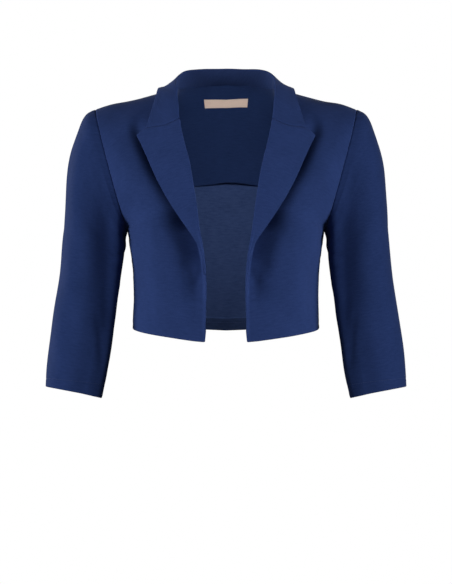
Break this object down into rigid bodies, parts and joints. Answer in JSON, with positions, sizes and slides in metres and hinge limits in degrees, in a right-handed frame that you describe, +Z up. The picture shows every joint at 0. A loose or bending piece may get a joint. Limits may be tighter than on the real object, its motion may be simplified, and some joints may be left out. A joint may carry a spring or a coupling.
{
  "type": "spencer jacket",
  "caption": "Cropped open-fronted jacket with notched lapels, a folded collar and three-quarter sleeves, hollow as worn, with a back neck facing and a blank label.",
  "frame": {"origin": "On the centre line, level with the inner ends of the shoulder seams and between them, where the wearer's shoulders carry the jacket.", "axes": "+X is the wearer's left and the widest way across the sleeves, +Y points to the wearer's back, and +Z is up. The front faces -Y."},
  "size_m": [0.5398, 0.2235, 0.4977],
  "materials": {
    "crepe": "fine matte navy crepe",
    "facing": "smooth dark navy cloth",
    "label": "beige woven satin, blank"
  },
  "bodies": {
    "root": {"back_panel": "crepe", "front_left": "crepe", "front_right": "crepe", "lapel_left": "crepe", "lapel_right": "crepe", "collar": "crepe", "sleeve_left": "crepe", "sleeve_right": "crepe", "back_neck_facing": "facing", "neck_label": "label"}
  },
  "joints": []
}
